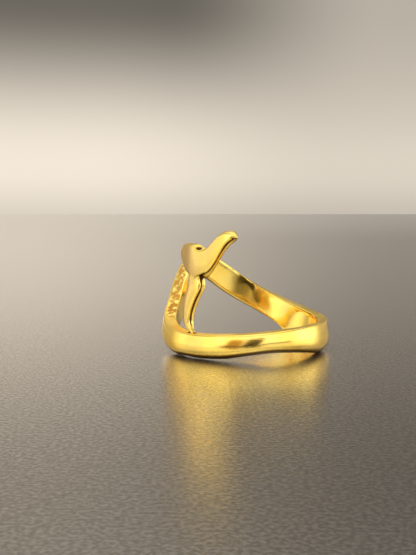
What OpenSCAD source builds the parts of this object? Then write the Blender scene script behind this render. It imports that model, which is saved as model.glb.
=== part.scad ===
// Dolphin tail ring: one cast piece of metal, lying on its side.
// The band runs low along the near side, steps up at the left and comes back down along the far
// side. A slim tail stock stands on the near side's upper edge and carries the two-lobed fluke.
// The origin is on the finger hole's axis, at the surface that the ring lies on.

/* [Finger hole] */
// Diameter of the finger hole
finger_d = 17.3; // [14:0.1:22]

/* [Band] */
// Radial thickness of the band at its crown
band_thick = 1.95; // [1.2:0.05:2.6]
// Share by which all heights above the surface are scaled
rise = 1; // [0.8:0.05:1.2]
// Ribs drawn from each row of the band's table
band_steps = 5; // [2:1:5]

/* [Tail] */
// Share by which the tail stock's and the fluke's thicknesses are scaled
tail_thick = 1; // [0.7:0.05:1.15]
// Ribs drawn from each row of the tail's tables
tail_steps = 4; // [2:1:4]

/* [Hidden] */
// Hole radius that the tables' own radii belong to, and their scale to the hole asked for
table_r = 8.6;
fit = finger_d / 2 / table_r;

// Angles run clockwise seen from above: 0 is the back, 90 the near side, 180 the left side.
// Each row is one crosswise rib of the band.
// Columns: upper edge's angle and height, lower edge's angle and height
BAND = [
    [0, 3.98, -4, 0.12],
    [15, 3.92, 13, 0],
    [30, 3.86, 28, 0.14],
    [45, 3.76, 43, 0.48],
    [60, 3.62, 59, 0.76],
    [75, 3.42, 75, 0.85],
    [90, 3.24, 91, 0.56],
    [105, 3.1, 107, 0.16],
    [120, 3, 122, 0.03],
    [134, 2.95, 138, 0.05],
    [148, 3.08, 155, 0],
    [160, 3.34, 169, 0.46],
    [171, 3.78, 182.5, 1.5],
    [182, 4.45, 196, 2.4],
    [191.5, 5.4, 208, 3.8],
    [198, 6.5, 216, 5.2],
    [203.5, 7.85, 222, 6.5],
    [209, 9.05, 227, 7.45],
    [215, 10.15, 231, 8],
    [223, 11.2, 235, 8.25],
    [232, 11.75, 239, 8],
    [242, 11.4, 243.5, 7.5],
    [254, 10.28, 249, 6.85],
    [266.5, 8.95, 257, 6],
    [279, 7.58, 268.5, 4.92],
    [292, 6.44, 281.5, 3.8],
    [306, 5.5, 295, 2.65],
    [319, 4.86, 304, 1.8],
    [332, 4.4, 311.5, 0.8],
    [343, 4.14, 319, 0.05],
    [352, 4.03, 333, 0.08],
];

// The band's section from inside the hole over the upper edge, and its outer side.
// Columns: place from the lower edge (0) to the upper edge (1), and depth from the finger hole
// (0) to the crown (1); the inner side has both again for where its rim is worn round
BAND_INSIDE = [
    [0.08, 0.015, 0.1, 0.04],
    [0.28, 0, 0.28, 0.01],
    [0.5, 0, 0.5, 0],
    [0.72, 0, 0.66, 0.015],
    [0.945, 0.005, 0.84, 0.09],
    [0.985, 0.025, 0.94, 0.23],
    [1, 0.07, 1, 0.42],
    [1, 0.4, 1, 0.6],
];
BAND_OUTSIDE = [
    [1, 0.75], [0.988, 0.81], [0.95, 0.855], [0.84, 0.905], [0.7, 0.95], [0.56, 0.985], [0.46, 1],
    [0.35, 0.98], [0.25, 0.915], [0.165, 0.81], [0.09, 0.665], [0.035, 0.5],
    [0.005, 0.35], [0, 0.24], [0.03, 0.09],
];
// Angle about which the inner rim is worn round
worn_at = 20;

// The tail stock, from inside the band up into the fluke.
// Columns: height, left edge's angle, right edge's angle, outer radius, thickness
STOCK = [
    [2.4, 134.6, 130.6, 9.75, 0.5],
    [3.1, 135.7, 131.1, 9.86, 0.55],
    [3.5, 138.4, 132.4, 9.96, 0.72],
    [4.05, 140.6, 133.7, 10.02, 0.92],
    [4.7, 141.5, 134, 10.02, 1.03],
    [5.6, 142.1, 132.6, 9.97, 1.03],
    [6.6, 142.2, 130, 9.89, 1.02],
    [7.4, 141.1, 127.5, 9.82, 1.03],
    [8.05, 139.4, 125.1, 9.77, 1.08],
    [8.7, 139.1, 124.4, 9.72, 1.1],
    [9.7, 138, 125.9, 9.66, 1.04],
    [10.8, 135.8, 124.9, 9.55, 0.9],
];

// The tail stock's section. Columns: place from the right edge (0) to the left edge (1), and
// depth from the inner face (0) to the outer face (1)
STOCK_SECTION = [
    [0, 0.14], [0.16, 0.46], [0.16, 0.64], [0.1, 0.78],
    [0.12, 0.87], [0.24, 0.965], [0.5, 1], [0.77, 0.965], [0.93, 0.87],
    [1, 0.72], [1, 0.16], [0.94, 0.03], [0.5, 0], [0.06, 0.03],
];

// The fluke, from its left tip to its right tip, with the notch at 122.8.
// Columns: angle, heights of the back face's upper and lower edges, heights of the front
// face's upper and lower edges, outer radius, thickness
FLUKE = [
    [152.6, 12.8, 12, 12.7, 12.15, 9.02, 0.45],
    [151, 13.2, 11.5, 13.05, 11.75, 9.08, 0.75],
    [148.2, 13.4, 10.95, 13.25, 11.15, 9.18, 0.95],
    [143.5, 13.45, 10.15, 13.3, 10.35, 9.35, 1.08],
    [137.6, 13.44, 9.6, 13.3, 9.75, 9.57, 1.15],
    [132.9, 13.42, 9.5, 13.27, 9.62, 9.7, 1.18],
    [129.8, 13.38, 9.5, 12.92, 9.6, 9.79, 1.2],
    [127.2, 13.24, 9.5, 12.6, 9.7, 9.86, 1.2],
    [122.8, 12.95, 9.4, 12.72, 9.98, 9.94, 1.2],
    [119.6, 13.25, 9.75, 13.05, 10.15, 10, 1.2],
    [116.5, 13.85, 10.3, 13.57, 10.6, 10.08, 1.2],
    [113, 14.4, 11.05, 14.1, 11.38, 10.17, 1.18],
    [109.5, 14.75, 11.95, 14.52, 12.38, 10.26, 1.15],
    [106, 14.96, 12.75, 14.76, 13.35, 10.35, 1.1],
    [102.4, 15.02, 13.36, 14.85, 13.92, 10.43, 1],
    [99.8, 14.92, 13.7, 14.75, 14.12, 10.46, 0.88],
    [98.3, 14.7, 13.9, 14.55, 14.15, 10.46, 0.65],
    [97.5, 14.4, 14.15, 14.35, 14.2, 10.43, 0.4],
];

// The fluke's section. Columns: place from the lower edge (0) to the upper edge (1), share of
// the front face's outline against the back face's, and depth from the back (0) to the front (1)
FLUKE_SECTION = [
    [0, 0, 0.12], [0.02, 0.2, 0.32], [0.06, 0.65, 0.5], [0.06, 1, 0.7], [0, 1, 0.9],
    [0.03, 1, 0.96], [0.15, 1, 1], [0.35, 1, 0.99], [0.6, 1, 0.94], [0.82, 1, 0.87],
    [0.97, 1, 0.8], [1, 1, 0.75], [1, 0.88, 0.6], [1, 0.5, 0.4], [1, 0.12, 0.22],
    [1, 0, 0.1], [0.92, 0, 0.02], [0.5, 0, 0], [0.08, 0, 0.02],
];

// A row at u between rows b and c, on a smooth curve that also minds the rows a and d beyond
function eased(a, b, c, d, u) =
    0.5 * (2 * b + (c - a) * u
        + (2 * a - 5 * b + 4 * c - d) * pow(u, 2)
        + (3 * b - a - 3 * c + d) * pow(u, 3));

// The band's table is a closed loop, so a row beyond an end is one from the other end
function band_row(i) =
    let (n = len(BAND), turn = [360, 0, 360, 0])
    i < 0 ? BAND[i + n] - turn
        : i >= n ? BAND[i - n] + turn
        : BAND[i];

// A table's rows with smooth steps between them
function band_ribs(steps) = [
    for (i = [0 : len(BAND) - 1])
        for (k = [0 : steps - 1])
            eased(band_row(i - 1), band_row(i), band_row(i + 1), band_row(i + 2), k / steps)
];
function open_ribs(rows, steps) = let (last = len(rows) - 1) concat(
    [
        for (i = [0 : last - 1])
            for (k = [0 : steps - 1])
                eased(rows[max(i - 1, 0)], rows[i], rows[i + 1], rows[min(i + 2, last)], k / steps)
    ],
    [rows[last]]
);

// A point of the ring from its angle, its radius as in the tables, and its height
function wrap(angle, radius, height) =
    [radius * fit * cos(angle), -radius * fit * sin(angle), height * fit * rise];

// The band's section at an angle: the worn rim eases in and out round the back
function band_section(angle) = let (worn = pow(max(0, cos(angle - worn_at)), 2)) concat(
    [for (p = BAND_INSIDE) [p[0] + (p[2] - p[0]) * worn, p[1] + (p[3] - p[1]) * worn]],
    BAND_OUTSIDE
);
function band_loop(rib) = [
    for (p = band_section((rib[0] + rib[2]) / 2)) wrap(
        rib[2] + (rib[0] - rib[2]) * p[0],
        table_r + band_thick / fit * p[1],
        rib[3] + (rib[1] - rib[3]) * p[0]
    )
];
function stock_loop(rib) = [
    for (p = STOCK_SECTION) wrap(
        rib[2] + (rib[1] - rib[2]) * p[0],
        rib[3] - rib[4] * tail_thick * (1 - p[1]),
        rib[0]
    )
];
function fluke_loop(rib) = [
    for (p = FLUKE_SECTION)
        let (
            lower = rib[2] + (rib[4] - rib[2]) * p[1],
            upper = rib[1] + (rib[3] - rib[1]) * p[1]
        )
        wrap(rib[0], rib[5] - rib[6] * tail_thick * (1 - p[2]), lower + (upper - lower) * p[0])
];

// A solid through loops of points; a closed one joins its last loop to its first
module skin(loops, closed) {
    n = len(loops);
    m = len(loops[0]);
    sides = [
        for (i = [0 : closed ? n - 1 : n - 2])
            for (j = [0 : m - 1])
                let (
                    a = i * m + j,
                    b = i * m + (j + 1) % m,
                    c = (i + 1) % n * m + (j + 1) % m,
                    d = (i + 1) % n * m + j
                )
                each [[a, b, c], [a, c, d]]
    ];
    first = [[for (j = [m - 1 : -1 : 0]) j]];
    final = [[for (j = [0 : m - 1]) (n - 1) * m + j]];
    polyhedron(
        points = [for (loop = loops) each loop],
        faces = closed ? sides : concat(sides, first, final),
        convexity = 6
    );
}

module band() skin([for (rib = band_ribs(band_steps)) band_loop(rib)], true);

module tail_stock() skin([for (rib = open_ribs(STOCK, tail_steps)) stock_loop(rib)], false);

module fluke() skin([for (rib = open_ribs(FLUKE, tail_steps)) fluke_loop(rib)], false);

module ring() {
    color([0.86, 0.66, 0.27]) {
        band();
        tail_stock();
        fluke();
    }
}

ring();
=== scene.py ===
"""Dolphin tail ring: one gold casting that lies on its side on a pale floor.

It is polished, but for a strip left as cast on the raised arm's upper edge, a satin left side of
the tail that is also darkened with painted shade, and duller upper rims. Grooves, dents and
downward faces are rougher and carry painted shade.

Lengths are metres, and millimetres where a name says so. Angles are degrees. Round the finger hole
they run as in the part's source: clockwise seen from above, with 90 at the near side. A pair of
numbers says where an effect starts and where it is full, and a pair after it gives the values there.
"""

import math

import bmesh
import bpy
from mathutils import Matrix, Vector, noise


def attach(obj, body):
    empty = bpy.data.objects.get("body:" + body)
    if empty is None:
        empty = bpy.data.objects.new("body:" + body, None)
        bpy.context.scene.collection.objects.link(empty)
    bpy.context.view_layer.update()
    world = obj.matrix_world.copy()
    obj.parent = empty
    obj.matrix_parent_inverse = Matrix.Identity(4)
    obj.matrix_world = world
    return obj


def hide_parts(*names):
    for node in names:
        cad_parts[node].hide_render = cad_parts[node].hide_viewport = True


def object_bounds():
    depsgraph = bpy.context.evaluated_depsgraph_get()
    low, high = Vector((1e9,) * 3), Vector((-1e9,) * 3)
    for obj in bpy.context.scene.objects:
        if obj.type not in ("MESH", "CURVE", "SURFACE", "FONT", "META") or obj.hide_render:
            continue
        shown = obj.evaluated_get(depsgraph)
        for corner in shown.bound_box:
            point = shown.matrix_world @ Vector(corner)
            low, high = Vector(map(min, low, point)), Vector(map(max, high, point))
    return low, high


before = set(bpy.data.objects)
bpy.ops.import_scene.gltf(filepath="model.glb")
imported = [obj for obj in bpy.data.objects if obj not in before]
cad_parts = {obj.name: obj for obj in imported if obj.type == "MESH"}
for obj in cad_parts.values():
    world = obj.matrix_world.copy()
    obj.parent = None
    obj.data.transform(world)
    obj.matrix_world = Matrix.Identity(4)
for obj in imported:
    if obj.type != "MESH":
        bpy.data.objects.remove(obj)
cad_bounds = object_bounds()

MM = 0.001
FINGER_RADIUS_MM = 8.65


# Camera

CAMERA_PLACE_MM = (-4.721, -104.605, 17.1)
CAMERA_PITCH = 4.43
LENS_MM = 54.03
SENSOR_WIDTH_MM = 36
NEAREST_SEEN = 0.005
FARTHEST_SEEN = 20


def make_camera():
    """The photograph's view: from low in front of the ring, straight back and a little down."""
    data = bpy.data.cameras.new("camera")
    data.lens = LENS_MM
    data.sensor_width = SENSOR_WIDTH_MM
    data.clip_start = NEAREST_SEEN
    data.clip_end = FARTHEST_SEEN
    camera = bpy.data.objects.new("camera", data)
    camera.location = Vector(CAMERA_PLACE_MM) * MM
    camera.rotation_euler = (math.radians(90 - CAMERA_PITCH), 0, 0)
    bpy.context.scene.collection.objects.link(camera)
    bpy.context.scene.camera = camera


# The casting's skin

MERGE_WITHIN_MM = 0.002
QUAD_FLATNESS = 25
QUAD_SQUARENESS = 60
CREASE_FROM = 24
CREASE = 0.8
ROUNDING_LEVELS = 2
SKIN_CELL_MM = 0.1
SMOOTHINGS = 2


def link_mesh(name, mesh):
    """A new object that shows a mesh."""
    piece = bpy.data.objects.new(name, mesh)
    bpy.context.scene.collection.objects.link(piece)
    return piece


def with_modifiers(piece):
    """The piece's mesh once its modifiers have worked on it, in place of its own."""
    graph = bpy.context.evaluated_depsgraph_get()
    made = bpy.data.meshes.new_from_object(piece.evaluated_get(graph))
    piece.modifiers.clear()
    piece.data = made
    return made


def smooth(bm):
    """Moves every vertex half the way to the middle of its neighbours."""
    bmesh.ops.smooth_vert(
        bm, verts=bm.verts, factor=0.5, use_axis_x=True, use_axis_y=True, use_axis_z=True
    )


def casting_in_mm():
    """The CAD ring's loose triangles merged, joined into quads and scaled to millimetres."""
    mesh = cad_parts["ring"].data.copy()
    mesh.materials.clear()
    bm = bmesh.new()
    bm.from_mesh(mesh)
    bmesh.ops.scale(bm, vec=(1 / MM,) * 3, verts=bm.verts)
    bmesh.ops.remove_doubles(bm, verts=bm.verts, dist=MERGE_WITHIN_MM)
    bmesh.ops.join_triangles(
        bm,
        faces=bm.faces,
        angle_face_threshold=math.radians(QUAD_FLATNESS),
        angle_shape_threshold=math.radians(QUAD_SQUARENESS),
    )
    crease = bm.edges.layers.float.new("crease_edge")
    for edge in bm.edges:
        if edge.is_manifold and edge.calc_face_angle() > math.radians(CREASE_FROM):
            edge[crease] = CREASE
    bm.to_mesh(mesh)
    bm.free()
    return link_mesh("ring_casting", mesh)


def add_skin(piece):
    """One even skin over the casting, without the CAD's facets; gives its mesh."""
    rounding = piece.modifiers.new("rounding", "SUBSURF")
    rounding.levels = rounding.render_levels = ROUNDING_LEVELS
    skin = piece.modifiers.new("skin", "REMESH")
    skin.mode = "VOXEL"
    skin.voxel_size = SKIN_CELL_MM
    return with_modifiers(piece)


# Effects on the skin, from a point's place in millimetres and its normal

INNER_FACE = (-0.6, -0.9)
FAR_ARM_STARTS = (245, 262)
FAR_ARM_ENDS = (357, 340)
FAR_ARM_CLIMBS = (355, 262)
FAR_ARM_LOW_MM = 2.2
FAR_ARM_CLIMB_MM = 4.1
LEAN_GROWS = (272, 296)
LEAN_LEFT = 1.5
LEAN_RIGHT = 7.4

# Small dents in the fluke, in millimetres: middle, half the size along each axis, and depth
DENTS = (
    ((-5.8, -7.28, 12.98), (0.56, 0.4, 0.34), 0.14),
    ((-1.95, -10.3, 14.22), (0.3, 0.4, 0.24), 0.12),
)
DENT_EDGE = (1, 0.25)

STRIP_RADIUS_MM = 9.35
STRIP_HALF_WIDTH_MM = (0.8, 0.45)
STRIP_STARTS = (166, 184)
STRIP_ENDS = (232, 218)
STRIP_UPWARD = 0.5
STRIP_BACKWARD = 0.8
STRIP_FACING = (0.2, 0.5)

TAIL_FROM = 95
TAIL_TO = 156
# Satin finish, and painted shade, on the tail's left side above this height and facing left
SATIN_AND_SHADE_HEIGHT_MM = (3.5, 4.5)
SATIN_AND_SHADE_FACING_LEFT = (0.48, 0.88)


def eased(value, start, full):
    """0 at start, 1 at full and a smooth step between them; start may be the greater."""
    share = min(max((value - start) / (full - start), 0), 1)
    return share * share * (3 - 2 * share)


def turn_and_outward(place):
    """A point's angle round the finger hole, and the direction away from its axis there."""
    turn = math.degrees(math.atan2(-place.y, place.x)) % 360
    return turn, Vector((place.x, place.y, 0)).normalized()


def lean_at(place, normal):
    """How far the far arm's inner face leans outwards at a point, in millimetres."""
    turn, outward = turn_and_outward(place)
    inner = eased(normal.dot(outward), *INNER_FACE)
    along = eased(turn, *FAR_ARM_STARTS) * eased(turn, *FAR_ARM_ENDS)
    lean = LEAN_LEFT + (LEAN_RIGHT - LEAN_LEFT) * eased(turn, *LEAN_GROWS)
    middle = FAR_ARM_LOW_MM + FAR_ARM_CLIMB_MM * eased(turn, *FAR_ARM_CLIMBS)
    return outward * (inner * along * math.tan(math.radians(lean)) * (place.z - middle))


def dent_share(place, middle, half):
    """1 in the middle of a dent and 0 at its edge."""
    off = Vector((there - here) / reach for there, here, reach in zip(place, middle, half))
    return eased(off.length, *DENT_EDGE)


def cast_share(place, normal):
    """How far a point was left as cast: on the raised arm's upper edge, but not on its rims."""
    turn, outward = turn_and_outward(place)
    onward = Vector((outward.y, -outward.x, 0))
    facing = normal.z * STRIP_UPWARD - normal.dot(onward) * STRIP_BACKWARD
    along = eased(turn, *STRIP_STARTS) * eased(turn, *STRIP_ENDS)
    off_middle = abs(math.hypot(place.x, place.y) - STRIP_RADIUS_MM)
    return along * eased(off_middle, *STRIP_HALF_WIDTH_MM) * eased(facing, *STRIP_FACING)


def satin_and_shade_share(place, normal):
    """How far a point has a satin finish and painted shade: on the tail's left side."""
    turn, _ = turn_and_outward(place)
    if not TAIL_FROM < turn < TAIL_TO:
        return 0
    return eased(place.z, *SATIN_AND_SHADE_HEIGHT_MM) * eased(-normal.x, *SATIN_AND_SHADE_FACING_LEFT)


# Shaping and marking the skin

HOLLOW_REACH = 30
HOLLOW_DEPTH_MM = (0.01, 0.028)
# Painted shade under the ring and in the dents: the downward facing where it starts and is full, and
# its shares
UNDERSIDE_FACING = (-0.42, -0.88)
UNDERSIDE_PAINTED_SHADE = 0.85
DENT_PAINTED_SHADE = 0.8
RIM_FACING = (0.6, 0.85)

# The slow waves that polishing by hand leaves, and the as-cast strip's pits. Waves are counted to
# the millimetre; the pits are made of two kinds, each with its share
HAND_WAVES = 0.35
HAND_DEPTH_MM = 0.04
PIT_WAVES = ((2.3, 0.6), (4.7, 0.4))
PIT_DEPTH_MM = 0.07


def bend_and_dent(bm):
    """Leans the far arm's inner face outwards and presses the dents into the fluke."""
    bm.normal_update()
    for vert in bm.verts:
        vert.co += lean_at(vert.co, vert.normal)
        for middle, half, depth in DENTS:
            vert.co -= vert.normal * (dent_share(vert.co, middle, half) * depth)
    bm.normal_update()


def mark_painted_shade(bm):
    """Marks the grooves, dents and downward faces for painted shade and a rougher finish."""
    painted_shade = bm.verts.layers.float.new("painted_shade")
    evened = bm.copy()
    for _ in range(HOLLOW_REACH):
        smooth(evened)
    for vert, even in zip(bm.verts, evened.verts):
        # Painted shade: grooves, downward faces and dents are marked to be darkened
        filled = eased((even.co - vert.co).dot(vert.normal), *HOLLOW_DEPTH_MM)
        below = eased(vert.normal.z, *UNDERSIDE_FACING) * UNDERSIDE_PAINTED_SHADE
        dented = max(dent_share(vert.co, middle, half) for middle, half, _ in DENTS) * DENT_PAINTED_SHADE
        vert[painted_shade] = max(filled, below, dented)
    evened.free()


def mark_finishes(bm):
    """Marks the as-cast strip, the upper rims, and the satin side, which also gets painted shade."""
    as_cast = bm.verts.layers.float.new("as_cast")
    rim = bm.verts.layers.float.new("upper_rim")
    satin = bm.verts.layers.float.new("satin")
    for vert in bm.verts:
        vert[as_cast] = cast_share(vert.co, vert.normal)
        vert[rim] = eased(vert.normal.z, *RIM_FACING)
        vert[satin] = satin_and_shade_share(vert.co, vert.normal)


def work_by_hand(bm):
    """Gives the skin the slow waves of polishing, and pits the as-cast strip."""
    as_cast = bm.verts.layers.float["as_cast"]
    for vert in bm.verts:
        hand = noise.noise(vert.co * HAND_WAVES) * HAND_DEPTH_MM
        pits = sum(noise.noise(vert.co * waves) * share for waves, share in PIT_WAVES)
        vert.co += vert.normal * (hand + vert[as_cast] * pits * PIT_DEPTH_MM)


def make_casting():
    """The finished casting in metres, with its finishes marked on its vertices."""
    piece = casting_in_mm()
    mesh = add_skin(piece)
    bm = bmesh.new()
    bm.from_mesh(mesh)
    for _ in range(SMOOTHINGS):
        smooth(bm)
    bend_and_dent(bm)
    mark_painted_shade(bm)
    mark_finishes(bm)
    work_by_hand(bm)
    bmesh.ops.scale(bm, vec=(MM,) * 3, verts=bm.verts)
    for face in bm.faces:
        face.smooth = True
    bm.to_mesh(mesh)
    bm.free()
    return piece


# Node helpers

NOISE_DETAIL = 3


def new_material(name):
    """A material, its Principled shader and its node tree."""
    material = bpy.data.materials.new(name)
    material.use_nodes = True
    tree = material.node_tree
    shader = next(n for n in tree.nodes if n.type == "BSDF_PRINCIPLED")
    return material, shader, tree


def feed(tree, socket, value):
    """Links a socket to an input, or sets the input to a number or colour."""
    if isinstance(value, bpy.types.NodeSocket):
        tree.links.new(value, socket)
    else:
        socket.default_value = value


def ramp(tree, value, start, end, low=0.0, high=1.0):
    """A smooth step of a value from low at start to high at end."""
    node = tree.nodes.new("ShaderNodeMapRange")
    node.interpolation_type = "SMOOTHSTEP"
    names = ("Value", "From Min", "From Max", "To Min", "To Max")
    for name, given in zip(names, (value, start, end, low, high)):
        feed(tree, node.inputs[name], given)
    return node.outputs["Result"]


def maths(tree, operation, *values):
    """The outcome of a Math node whose inputs are sockets or numbers."""
    node = tree.nodes.new("ShaderNodeMath")
    node.operation = operation
    for socket, value in zip(node.inputs, values):
        feed(tree, socket, value)
    return node.outputs[0]


def add(tree, total, *others):
    """The sum of sockets and numbers."""
    for other in others:
        total = maths(tree, "ADD", total, other)
    return total


def times(tree, product, *others):
    """The product of sockets and numbers."""
    for other in others:
        product = maths(tree, "MULTIPLY", product, other)
    return product


def parts_of(tree, vector):
    """A vector's three parts."""
    node = tree.nodes.new("ShaderNodeSeparateXYZ")
    tree.links.new(vector, node.inputs[0])
    return node.outputs


def attribute_value(tree, name):
    """A value marked on the mesh's vertices."""
    node = tree.nodes.new("ShaderNodeAttribute")
    node.attribute_name = name
    return node.outputs["Fac"]


def noise_value(tree, vector, scale):
    """A noise texture's value, from 0 to 1; its scale is in waves to the metre."""
    node = tree.nodes.new("ShaderNodeTexNoise")
    node.inputs["Scale"].default_value = scale
    node.inputs["Detail"].default_value = NOISE_DETAIL
    tree.links.new(vector, node.inputs["Vector"])
    return node.outputs["Fac"]


def mix_colour(tree, share, first, second):
    """A mix of two colours, each a socket or a value."""
    node = tree.nodes.new("ShaderNodeMix")
    node.data_type = "RGBA"
    node.clamp_factor = True
    tree.links.new(share, node.inputs[0])
    for socket, colour in ((node.inputs[6], first), (node.inputs[7], second)):
        feed(tree, socket, (*colour, 1) if isinstance(colour, tuple) else colour)
    return node.outputs[2]


def mix_value(tree, share, first, second):
    """A mix of two sockets' values: the first where the share is 0, the second where it is 1."""
    node = tree.nodes.new("ShaderNodeMix")
    tree.links.new(share, node.inputs[0])
    tree.links.new(first, node.inputs[2])
    tree.links.new(second, node.inputs[3])
    return node.outputs[0]


def new_group(name, inputs, outputs):
    """A shader node group with named sockets, and its own input and output nodes' sockets."""
    group = bpy.data.node_groups.new(name, "ShaderNodeTree")
    for title, kind in inputs:
        group.interface.new_socket(title, in_out="INPUT", socket_type="NodeSocket" + kind)
    for title, kind in outputs:
        group.interface.new_socket(title, in_out="OUTPUT", socket_type="NodeSocket" + kind)
    given = group.nodes.new("NodeGroupInput").outputs
    out = group.nodes.new("NodeGroupOutput").inputs
    return group, given, out


def use_group(tree, group, place):
    """A group put into a material and told the place on the surface; gives its outputs."""
    node = tree.nodes.new("ShaderNodeGroup")
    node.node_tree = group
    tree.links.new(place, node.inputs["Place"])
    return node.outputs


def add_bump(tree, shader, height, distance, strength=1.0):
    """Raises a shader's surface by a height of 0 to 1 over a distance."""
    bump = tree.nodes.new("ShaderNodeBump")
    bump.inputs["Distance"].default_value = distance
    bump.inputs["Strength"].default_value = strength
    tree.links.new(height, bump.inputs["Height"])
    tree.links.new(bump.outputs["Normal"], shader.inputs["Normal"])


# Gold

GOLD = (1, 0.68, 0.12)
GOLD_PALE = (1, 0.74, 0.18)
GOLD_DEEP = (0.6, 0.3, 0.05)
# Darker gold of the painted shade on the tail's satin left side
GOLD_SATIN_SHADED = (0.74, 0.5, 0.17)
# Near-black of the painted shade in grooves, dents and on downward faces
PAINTED_SHADE_COLOUR = (0.08, 0.03, 0.005)

LINE_SCALE = 5200
LINE_STRETCH = 0.04
LINE_CONTRAST = (0.35, 0.75)
CLOUD_SCALE = 330
CLOUD_CONTRAST = (0.3, 0.7)

MOTTLE_SCALE = 1500
MOTTLE_CONTRAST = (0.46, 0.6)
GRAIN_SCALE = 5200
GRAIN_HEIGHT = 0.6
CELL_SCALE = 2600
CELL_HEIGHT = 0.5

POLISHED_ROUGHNESS = (0.1, 0.16)
CAST_ROUGHNESS = (0.42, 0.2)
LINE_ROUGHNESS = 0.05
HOLLOW_ROUGHNESS = 0.3
RIM_ROUGHNESS = 0.25
SATIN_ROUGHNESS = 0.1

LINE_HEIGHT = 0.02
GOLD_BUMP_MM = 0.05
GOLD_BUMP = 0.7


def polish_group():
    """The polishing wheel's fine lines, which run round the finger, and its cloudy finish."""
    group, given, out = new_group(
        "polish marks", [("Place", "Vector")], [("Lines", "Float"), ("Clouds", "Float")]
    )
    place = given["Place"]
    x, y, z = parts_of(group, place)
    around = times(group, maths(group, "ARCTAN2", y, x), FINGER_RADIUS_MM * MM, LINE_STRETCH)
    outward = maths(group, "SQRT", add(group, times(group, x, x), times(group, y, y)))
    unrolled = group.nodes.new("ShaderNodeCombineXYZ")
    for socket, value in zip(unrolled.inputs, (around, outward, z)):
        group.links.new(value, socket)
    lines = noise_value(group, unrolled.outputs[0], LINE_SCALE)
    clouds = noise_value(group, place, CLOUD_SCALE)
    group.links.new(ramp(group, lines, *LINE_CONTRAST), out["Lines"])
    group.links.new(ramp(group, clouds, *CLOUD_CONTRAST), out["Clouds"])
    return group


def cast_group():
    """The grainy skin of a casting that no wheel has touched."""
    group, given, out = new_group(
        "cast skin", [("Place", "Vector")], [("Mottle", "Float"), ("Height", "Float")]
    )
    place = given["Place"]
    mottle = noise_value(group, place, MOTTLE_SCALE)
    grain = noise_value(group, place, GRAIN_SCALE)
    cells = group.nodes.new("ShaderNodeTexVoronoi")
    cells.inputs["Scale"].default_value = CELL_SCALE
    group.links.new(place, cells.inputs["Vector"])
    cell_part = times(group, cells.outputs["Distance"], CELL_HEIGHT)
    grain_part = times(group, grain, GRAIN_HEIGHT)
    group.links.new(ramp(group, mottle, *MOTTLE_CONTRAST), out["Mottle"])
    group.links.new(add(group, cell_part, grain_part), out["Height"])
    return group


def gold_material():
    """Yellow gold: polished, but satin or grainy where marked so, and darkened where shade is
    painted.
    """
    material, shader, tree = new_material("polished gold")
    shader.inputs["Metallic"].default_value = 1
    place = tree.nodes.new("ShaderNodeTexCoord").outputs["Object"]
    polish = use_group(tree, polish_group(), place)
    skin = use_group(tree, cast_group(), place)
    as_cast = attribute_value(tree, "as_cast")
    satin = attribute_value(tree, "satin")
    painted_shade = attribute_value(tree, "painted_shade")
    rim = attribute_value(tree, "upper_rim")

    polished = mix_colour(tree, polish["Clouds"], GOLD, GOLD_PALE)
    # Painted shade: the tail's satin left side is a darker, duller gold
    polished = mix_colour(tree, satin, polished, GOLD_SATIN_SHADED)
    mottled = mix_colour(tree, skin["Mottle"], GOLD_DEEP, GOLD_PALE)
    metal = mix_colour(tree, as_cast, polished, mottled)
    # Painted shade: grooves, dents and downward faces turn near-black
    tree.links.new(mix_colour(tree, painted_shade, metal, PAINTED_SHADE_COLOUR), shader.inputs["Base Color"])

    wheel = add(
        tree,
        ramp(tree, polish["Clouds"], 0, 1, *POLISHED_ROUGHNESS),
        times(tree, polish["Lines"], LINE_ROUGHNESS),
    )
    grainy = ramp(tree, skin["Mottle"], 0, 1, *CAST_ROUGHNESS)
    roughness = add(
        tree,
        wheel,
        times(tree, as_cast, maths(tree, "SUBTRACT", grainy, wheel)),
        times(tree, painted_shade, HOLLOW_ROUGHNESS),
        times(tree, rim, RIM_ROUGHNESS),
        times(tree, satin, SATIN_ROUGHNESS),
    )
    tree.links.new(roughness, shader.inputs["Roughness"])

    height = add(
        tree, times(tree, polish["Lines"], LINE_HEIGHT), times(tree, skin["Height"], as_cast)
    )
    add_bump(tree, shader, height, GOLD_BUMP_MM * MM, GOLD_BUMP)
    return material


# Floor

FLOOR_DARK = (0.57, 0.52, 0.46)
FLOOR_PALE = (0.79, 0.74, 0.67)
# Painted light: the floor's paler colour far behind the ring at the right
FLOOR_FAR_PAINTED_LIGHT = (0.97, 0.92, 0.83)
FLOOR_ROUGHNESS = 0.25
FLOOR_REACH = 12
FLOOR_SIDES = 64
SPECKLE_SCALE = 3000
SPECKLE_CONTRAST = (0.36, 0.64)
FLOOR_GRAIN_SCALE = 2600
FLOOR_GRAIN_MM = 0.02

# Where painted light pales the floor towards the horizon: one over the metres behind the ring,
# and the metres to the right for each metre behind it
FLOOR_PALES_BACK = (2.6, 0)
FLOOR_PALES_RIGHT = (-0.25, 0.25)


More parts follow.
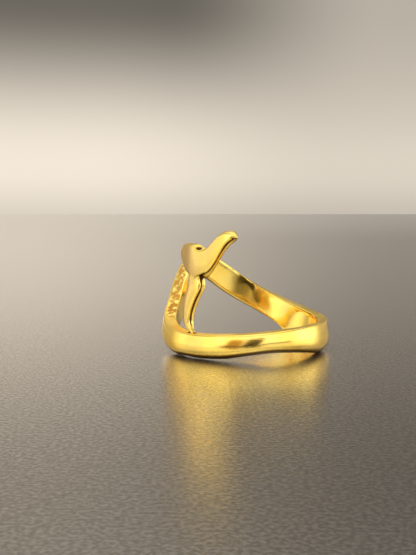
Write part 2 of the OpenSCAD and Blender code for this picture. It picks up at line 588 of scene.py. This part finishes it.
def floor_material():
    """Pale satin floor with a fine speckle and painted light: paler far behind the ring at the
    right.
    """
    material, shader, tree = new_material("pale satin floor")
    place = tree.nodes.new("ShaderNodeTexCoord").outputs["Object"]
    speckle = ramp(tree, noise_value(tree, place, SPECKLE_SCALE), *SPECKLE_CONTRAST)
    speckled = mix_colour(tree, speckle, FLOOR_DARK, FLOOR_PALE)
    right, back, _ = parts_of(tree, place)
    back = maths(tree, "MAXIMUM", back, MM)
    far = ramp(tree, maths(tree, "DIVIDE", 1, back), *FLOOR_PALES_BACK)
    sideways = ramp(tree, maths(tree, "DIVIDE", right, back), *FLOOR_PALES_RIGHT)
    # Painted light: paler far behind the ring and to the right
    colour = mix_colour(tree, times(tree, far, sideways), speckled, FLOOR_FAR_PAINTED_LIGHT)
    tree.links.new(colour, shader.inputs["Base Color"])
    shader.inputs["Metallic"].default_value = 1
    shader.inputs["Roughness"].default_value = FLOOR_ROUGHNESS
    grain = noise_value(tree, place, FLOOR_GRAIN_SCALE)
    add_bump(tree, shader, grain, FLOOR_GRAIN_MM * MM)
    return material


def make_floor():
    """A plain floor that reaches to the horizon."""
    bm = bmesh.new()
    bmesh.ops.create_circle(bm, cap_ends=True, segments=FLOOR_SIDES, radius=FLOOR_REACH)
    bmesh.ops.translate(bm, vec=(0, 0, cad_bounds[0].z), verts=bm.verts)
    mesh = bpy.data.meshes.new("floor")
    bm.to_mesh(mesh)
    bm.free()
    floor = link_mesh("floor", mesh)
    floor.data.materials.append(floor_material())


# Studio light

# The light depends on direction, whose parts run from -1 to 1: side (1 is right), depth (1 is
# behind the ring and -1 in front of it) and height (1 is up). Each pair or four of numbers below
# is a ramp by one of them: its start and end, and the values there if they aren't 0 and 1

WINDOW_LIGHT = 1.6
WINDOW_BY_DEPTH = (0.55, 0.05)
WINDOW_BY_HEIGHT = (0.6, 0.4)
WINDOW_BY_SIDE = (-0.97, -0.6, 0.62, 1)
FRONT_SILL = (0, 0.18, 0.08, 1)
SIDE_SILL = (-0.02, 0.02, 0, 1.2)
LEFT_SIDE = (-0.5, -0.8)
RIGHT_SIDE = (0.8, 0.96)

CEILING_FRONT_BY_HEIGHT = (0.35, 0.6)
CEILING_FRONT_BY_DEPTH = (0.3, -0.6, 0.15, 1)
CEILING_BACK_BY_HEIGHT = (0.5, 0.75)
CEILING_BACK_BY_DEPTH = (-0.2, 0.4, 0, 0.5)
LAMP_BY_HEIGHT = (0.75, 0.9, 0, 0.65)

# Two darker corners of the room in front: middle and half the size, in degrees to the right and
# up, and the share of light that is left there
CORNERS = (
    ((3, 7), (12, 13), 0.03),
    ((-20, 8), (9, 10), 0.35),
)
CORNER_COLOUR = (1, 0.62, 0.28)
CORNER_EDGE = 4.5
CORNER_SLANT = 0.7

WALL_COLOUR = (1, 0.9, 0.76)
WALL_FOOT = (-0.02, 0.05, 0.68, 0.9)
WALL_TOP = (0.06, 0.24, 1, 0.17)
WALL_BY_SIDE = (-0.25, 0.25, 1.6, 0.55)
WALL_BY_DEPTH = (-0.1, 0.35)
SIDE_WALL_FROM = (0.3, 0.6)
SIDE_WALL_BY_HEIGHT = (0.4, 0.8, 0.6, 0.3)
BACKDROP_BY_SIDE = (-0.15, 0.15, 1, 0.8)
HAZE_BY_SIDE = (-0.05, 0.2, 0, 0.36)
HAZE_BY_HEIGHT = (0.08, 0.24)


def corner(tree, around, height, middle, half):
    """A soft-edged slanting patch of the room; its middle and half its size are in degrees."""
    above = maths(tree, "SUBTRACT", height, math.radians(middle[1]))
    leaning = maths(tree, "SUBTRACT", around, times(tree, above, CORNER_SLANT))
    edge = math.radians(CORNER_EDGE)
    shares = []
    for value, centre, reach in zip((leaning, height), middle, half):
        off = maths(tree, "ABSOLUTE", maths(tree, "SUBTRACT", value, math.radians(centre)))
        reach = math.radians(reach)
        shares.append(ramp(tree, off, reach + edge, max(reach - edge, 0)))
    return times(tree, *shares)


def window_light(tree, side, depth, height):
    """A broad window in front and at both sides; in front, its foot is darker."""
    beside = add(tree, ramp(tree, side, *LEFT_SIDE), ramp(tree, side, *RIGHT_SIDE))
    foot = mix_value(tree, beside, ramp(tree, height, *FRONT_SILL), ramp(tree, height, *SIDE_SILL))
    return times(
        tree,
        ramp(tree, depth, *WINDOW_BY_DEPTH),
        times(tree, foot, ramp(tree, height, *WINDOW_BY_HEIGHT)),
        WINDOW_LIGHT,
        ramp(tree, side, *WINDOW_BY_SIDE),
    )


def ceiling_light(tree, depth, height):
    """A pale ceiling, brighter in front."""
    front = times(
        tree,
        ramp(tree, height, *CEILING_FRONT_BY_HEIGHT),
        ramp(tree, depth, *CEILING_FRONT_BY_DEPTH),
    )
    back = times(
        tree,
        ramp(tree, height, *CEILING_BACK_BY_HEIGHT),
        ramp(tree, depth, *CEILING_BACK_BY_DEPTH),
    )
    return add(tree, front, back)


def wall_light(tree, side, depth, height, seen):
    """A plain wall behind the ring. The camera sees it all round, with some haze at the right."""
    glow = times(tree, ramp(tree, height, *WALL_FOOT), ramp(tree, height, *WALL_TOP))
    haze = times(tree, ramp(tree, side, *HAZE_BY_SIDE), ramp(tree, height, *HAZE_BY_HEIGHT))
    backdrop = add(tree, times(tree, glow, ramp(tree, side, *BACKDROP_BY_SIDE)), haze)
    wall = times(tree, glow, ramp(tree, side, *WALL_BY_SIDE))
    beside = ramp(tree, maths(tree, "ABSOLUTE", side), *SIDE_WALL_FROM)
    wall = mix_value(tree, beside, wall, ramp(tree, height, *SIDE_WALL_BY_HEIGHT))
    wall = times(tree, wall, ramp(tree, depth, *WALL_BY_DEPTH))
    return mix_value(tree, seen, wall, backdrop)


def coloured(tree, colour, light):
    """A light's strength in a colour, a socket or a value."""
    node = tree.nodes.new("ShaderNodeVectorMath")
    node.operation = "SCALE"
    feed(tree, node.inputs[0], colour)
    tree.links.new(light, node.inputs["Scale"])
    return node.outputs[0]


def make_room():
    """A softly lit room: a window, a ceiling, two darker corners, a lamp overhead and a wall."""
    world = bpy.data.worlds.new("room")
    world.use_nodes = True
    tree = world.node_tree
    side, depth, height = parts_of(tree, tree.nodes.new("ShaderNodeTexCoord").outputs["Generated"])
    around = maths(tree, "ARCTAN2", side, times(tree, depth, -1))
    seen = tree.nodes.new("ShaderNodeLightPath").outputs["Is Camera Ray"]

    light = add(tree, window_light(tree, side, depth, height), ceiling_light(tree, depth, height))
    patches = []
    for middle, half, left in CORNERS:
        patch = corner(tree, around, height, middle, half)
        light = times(tree, light, ramp(tree, patch, 0, 1, 1, left))
        patches.append(patch)
    tint = mix_colour(tree, maths(tree, "MAXIMUM", *patches), (1, 1, 1), CORNER_COLOUR)
    light = add(tree, light, ramp(tree, height, *LAMP_BY_HEIGHT))
    light = times(tree, light, maths(tree, "SUBTRACT", 1, seen))

    lit = tree.nodes.new("ShaderNodeVectorMath")
    wall = wall_light(tree, side, depth, height, seen)
    tree.links.new(coloured(tree, WALL_COLOUR, wall), lit.inputs[0])
    tree.links.new(coloured(tree, tint, light), lit.inputs[1])
    tree.links.new(lit.outputs[0], tree.nodes["Background"].inputs["Color"])
    bpy.context.scene.world = world
    bpy.context.scene.view_settings.view_transform = "Standard"


make_camera()
ring = make_casting()
ring.data.materials.append(gold_material())
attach(ring, "root")
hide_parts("ring")
make_floor()
make_room()
